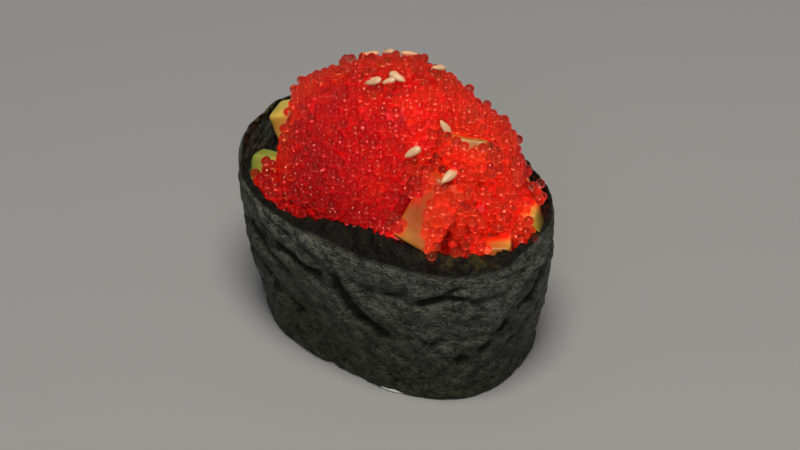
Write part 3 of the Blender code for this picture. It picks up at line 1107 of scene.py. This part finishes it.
def refined_form(node, cuts):
    """A CAD node's solid with finer faces."""
    form = bmesh.new()
    form.from_mesh(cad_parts[node].data)
    bmesh.ops.remove_doubles(form, verts=form.verts, dist=1e-6)
    bmesh.ops.subdivide_edges(form, edges=form.edges, cuts=cuts, use_grid_fill=True)
    return form


def softened_dice(node):
    """A dice of the CAD model with finer faces, eased edges and a slightly uneven cut."""
    form = refined_form(node, DICE_CUTS)
    axes = {"use_axis_x": True, "use_axis_y": True, "use_axis_z": True}
    for _ in range(DICE_EASING_ROUNDS):
        bmesh.ops.smooth_vert(form, verts=form.verts, factor=0.5, **axes)
    form.normal_update()
    for vertex in form.verts:
        uneven = DICE_UNEVENNESS * noise.noise(vertex.co * DICE_FINENESS)
        uneven += DICE_GRAIN * noise.noise(vertex.co * DICE_GRAIN_FINENESS)
        vertex.co += vertex.normal * uneven
    return triangles_of(form)


def make_avocado():
    """Every dice, greener to one side and darker orange on the other as painted shade warmed by the
    roe's light.
    """
    material = avocado_material()
    for node in sorted(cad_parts):
        if not node.startswith("avocado"):
            continue
        points, faces = softened_dice(node)
        made = add_piece(node.replace("avocado", "dice"), points, faces, material, "avocado", [node])
        green, tint, way = DICE_LOOKS.get(node, OTHER_DICE_LOOK)
        low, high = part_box(node)
        middle, reach = (low + high) / 2, (high - low).length / 2
        aside = np.array([(point - middle).dot(Vector(way).normalized()) / reach for point in points])
        uneven = DICE_PATCHES * noise_at(points, DICE_PATCH_FINENESS)
        set_attribute(made, "green", smooth_step(green + aside + uneven))
        # Painted shade on the side away from the greener one.
        set_attribute(made, "tint", smooth_step(tint - aside + uneven))


def closed_form(rings, sides, sizes, girth_at):
    """A form along X of this length, width and height, with the girth that a function gives."""
    length, width, height = sizes
    points = []
    for ring in range(rings + 1):
        along = math.cos(math.pi * ring / rings)
        girth = girth_at(along, math.sin(math.pi * ring / rings))
        for side in range(sides):
            turn = 2 * math.pi * side / sides
            across, up = girth * math.cos(turn), girth * math.sin(turn)
            points.append((along * length / 2, across * width / 2, up * height / 2))
    return points, grid_faces(rings + 1, sides, 0, False)


def seed_form():
    """A flat drop-shaped seed along X, with the share of its way to the tip at each point."""
    sizes = (SEED_LENGTH, SEED_WIDTH, SEED_HEIGHT)
    points, faces = closed_form(20, 20, sizes, lambda x, girth: girth * (1 - SEED_NARROWING * x))
    return points, faces, [max(0, 2 * x / SEED_LENGTH) ** 4 for x, _, _ in points]


def seed_height(nearest, facing, ahead, centres, radii):
    """How far out from the heap's outline a seed lies when it rests on the eggs under it."""
    tops = []
    for share in (-0.3, 0, 0.3):
        foot = np.array(nearest + ahead * (share * SEED_LENGTH))
        away = centres - foot
        out = away @ np.array(facing)
        beside = np.sqrt(np.maximum((away**2).sum(1) - out**2, 0))
        under = beside < radii
        tops.append((out + np.sqrt(np.maximum(radii**2 - beside**2, 0)))[under].max(initial=-SEED_DROP))
    return 0.5 * (sum(tops) / 3 + max(tops)) + SEED_LIFT


def smoothed_facing(surface, place):
    """The way a surface faces round a place: the mean over a seed's length."""
    total = Vector()
    for axis in range(3):
        for side in (-1, 1):
            beside = place.copy()
            beside[axis] += side * 0.4 * SEED_LENGTH
            total += surface.find_nearest(beside)[1]
    return total.normalized()


def make_sesame(centres, radii):
    """The seeds, each lying on the eggs."""
    heap = surface_of("roe", "avocado_front")
    base, base_faces, base_tips = seed_form()
    points, faces, tips = [], [], []
    for place, heading, scale in SEEDS:
        nearest = heap.find_nearest(Vector(place))[0]
        facing = smoothed_facing(heap, nearest)
        turn = math.radians(heading)
        ahead = Vector((math.cos(turn), math.sin(turn), 0))
        ahead = (ahead - facing * ahead.dot(facing)).normalized()
        axes = Matrix((ahead, facing.cross(ahead), facing)).transposed()
        middle = nearest + facing * seed_height(nearest, facing, ahead, centres, radii)
        faces += renumbered(base_faces, len(points))
        points += [middle + axes @ (Vector(point) * scale) for point in base]
        tips += base_tips
    made = add_piece("sesame_seeds", points, faces, sesame_material(), "sesame")
    set_attribute(made, "tip", tips)


def grain_form():
    """A plump grain along X."""
    sizes = (GRAIN_LENGTH, GRAIN_WIDTH, GRAIN_HEIGHT)
    return closed_form(10, 10, sizes, lambda x, girth: girth**GRAIN_BLUNTNESS)


def pressed(spot, wall, lowest):
    """The spot, kept above the floor and inside the band."""
    outward = Vector((spot.x, spot.y, 0))
    room = wall.ray_cast(Vector((0, 0, GRAIN_WALL_AT)), outward.normalized())[3] + GRAIN_ROOM
    inward = min(1, room / outward.length)
    return Vector((spot.x * inward, spot.y * inward, max(spot.z, lowest)))


def make_rice_core(material):
    """The pressed block of rice, a little smaller than its CAD solid and uneven."""
    form = refined_form("rice", 2)
    form.normal_update()
    for vertex in form.verts:
        relief = RICE_RELIEF * noise.noise(vertex.co * RICE_FINENESS)
        vertex.co -= vertex.normal * (RICE_INSET - relief)
    add_piece("rice_core", *triangles_of(form), material, "rice", ["rice"])


def make_grains(material):
    """Grains at the foot, pressed flat and against the band; the first few peep out below it."""
    rng = np.random.default_rng(5)
    block, wall = surface_of("rice"), surface_of("nori")
    low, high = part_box("nori")
    base, base_faces = grain_form()
    points, faces, placed = [], [], 0
    slivers = list(SLIVERS)
    while placed < GRAIN_COUNT:
        centre = Vector((rng.uniform(low.x, high.x), rng.uniform(low.y, high.y), 0))
        turn = Matrix.Rotation(rng.uniform(0, math.pi), 3, "Z")
        turn = turn @ Matrix.Rotation(rng.uniform(-GRAIN_TILT, GRAIN_TILT), 3, "Y")
        reach = turn @ Vector((GRAIN_REACH, 0, 0))
        ends = [(centre + reach * side).to_2d() * GRAIN_SPREAD for side in (-1, 1)]
        ends = [Vector((*end, GRAIN_TEST_HEIGHT)) for end in ends]
        if any(block.ray_cast(end, DOWN)[0] is None for end in ends):
            continue
        centre.z = rng.uniform(*GRAIN_LIFT)
        lowest = GRAIN_FLOOR_STEP * placed
        faces += renumbered(base_faces, len(points))
        if slivers:
            place, heading = slivers.pop()
            turn = Matrix.Rotation(math.radians(heading), 3, "Z")
            spots = [Vector(place) + turn @ Vector(point) for point in base]
            points += [Vector((spot.x, spot.y, max(spot.z, lowest))) for spot in spots]
        else:
            points += [pressed(centre + turn @ Vector(point), wall, lowest) for point in base]
        placed += 1
    add_piece("rice_grains", points, faces, material, "rice")


def make_rice():
    """The block of rice and its loose grains."""
    material = rice_material()
    make_rice_core(material)
    make_grains(material)


# ---- the studio ----


def toward(azimuth, elevation):
    """The way to a viewer: azimuth 0 is in front, at -Y, and 90 at the right, at +X."""
    a, e = math.radians(azimuth), math.radians(elevation)
    return Vector((math.sin(a) * math.cos(e), -math.cos(a) * math.cos(e), math.sin(e)))


def add_light(name, size, energy, azimuth, elevation, distance, colour):
    """A round soft light aimed at the sushi, placed as the view is."""
    data = bpy.data.lights.new(name, "AREA")
    data.shape = "DISK"
    data.size = size
    data.energy = energy
    data.color = colour
    way = toward(azimuth, elevation)
    made = new_object(name, data)
    made.location = Vector(AIM) + way * distance
    made.rotation_euler = way.to_track_quat("Z", "Y").to_euler()


def make_studio():
    """The floor, the lights and the pale surroundings."""
    mesh = bpy.data.meshes.new("floor")
    half = FLOOR_SIZE / 2
    corners = [(-half, -half, 0), (half, -half, 0), (half, half, 0), (-half, half, 0)]
    mesh.from_pydata(corners, [], [(0, 1, 2, 3)])
    mesh.materials.append(floor_material())
    floor = new_object("floor", mesh)
    add_light("key", 0.3, 6.2, 46, 73, 0.75, (1, 0.92, 0.8))
    add_light("fill", 0.8, 3, 32, 45, 1.2, (0.95, 0.97, 1))
    world = bpy.data.worlds.new("studio")
    world.use_nodes = True
    background = world.node_tree.nodes["Background"].inputs
    background["Color"].default_value = (0.93, 0.95, 1, 1)
    background["Strength"].default_value = 0.14
    bpy.context.scene.world = world
    bpy.context.scene.view_settings.view_transform = "Standard"


def make_camera():
    """The camera, which looks down at the front right of the sushi."""
    data = bpy.data.cameras.new("camera")
    data.lens = VIEW_LENS
    data.sensor_width = 36
    data.clip_start = 0.01
    data.clip_end = 20
    camera = new_object("camera", data)
    way = toward(VIEW_AZIMUTH, VIEW_ELEVATION)
    camera.location = Vector(AIM) + way * VIEW_DISTANCE
    camera.rotation_mode = "QUATERNION"
    roll = Matrix.Rotation(math.radians(VIEW_ROLL), 3, "Z").to_quaternion()
    camera.rotation_quaternion = way.to_track_quat("Z", "Y") @ roll
    bpy.context.scene.camera = camera


make_nori()
eggs = make_roe()
make_avocado()
make_sesame(*eggs)
make_rice()
make_studio()
make_camera()
